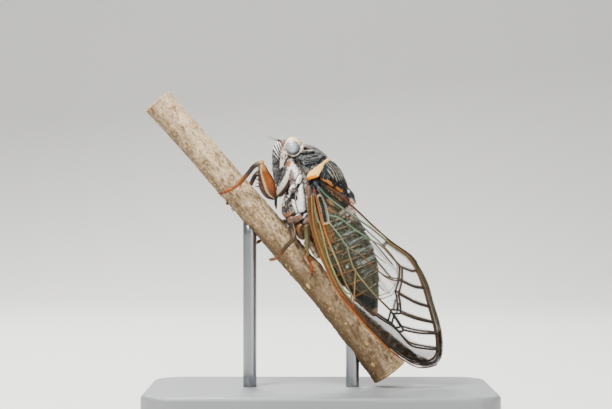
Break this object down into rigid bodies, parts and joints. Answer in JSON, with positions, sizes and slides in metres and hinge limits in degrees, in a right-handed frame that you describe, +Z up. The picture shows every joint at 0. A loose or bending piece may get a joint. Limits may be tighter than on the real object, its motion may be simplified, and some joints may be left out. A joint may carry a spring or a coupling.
{
  "type": "cicada",
  "caption": "Life-size still cicada with clear veined wings folded like a roof, gripping a cut piece of branch on a plain display stand.",
  "frame": {"origin": "middle of the underside of the stand's base, on the surface it stands on", "axes": "+Z up; +X towards the cicada's tail along the long side of the base, so that it clings head up and towards -X; its left side faces -Y"},
  "size_m": [0.0642, 0.036, 0.0584],
  "materials": {
    "head": "grey-black horny skin with pale down and cream rims",
    "eye": "smooth pale grey-blue compound eye",
    "feeler": "dark horny feeler or beak",
    "pronotum": "grooved grey-black shield with a cream and orange collar",
    "mesonotum": "black hump with grey down and orange side strips",
    "scutellum": "black, cream and orange cross-shaped crest",
    "thorax": "white waxy flank with dark plates",
    "abdomen": "blue-black segments with a grey bloom and orange hind edges",
    "operculum": "pale waxy cover plate",
    "wing": "clear glassy membrane with raised green to brown veins",
    "foreleg": "glossy amber horny leg with a pale stripe and black underside",
    "leg": "glossy dark brown horny leg",
    "bark": "grey-brown smooth bark with pale pores",
    "stand_base": "matt off-white lacquered wood",
    "stand_rod": "brushed steel rod"
  },
  "bodies": {
    "root": {"abdomen": "abdomen", "antenna_left": "feeler", "antenna_right": "feeler", "branch": "bark", "eye_left": "eye", "eye_right": "eye", "foreleg_left": "foreleg", "foreleg_right": "foreleg", "forewing_left": "wing", "forewing_right": "wing", "head": "head", "hindleg_left": "leg", "hindleg_right": "leg", "hindwing_left": "wing", "hindwing_right": "wing", "mesonotum": "mesonotum", "midleg_left": "leg", "midleg_right": "leg", "operculum_left": "operculum", "operculum_right": "operculum", "pronotum": "pronotum", "rostrum": "feeler", "scutellum": "scutellum", "stand_base": "stand_base", "stand_rod_long": "stand_rod", "stand_rod_short": "stand_rod", "thorax": "thorax"}
  },
  "joints": []
}
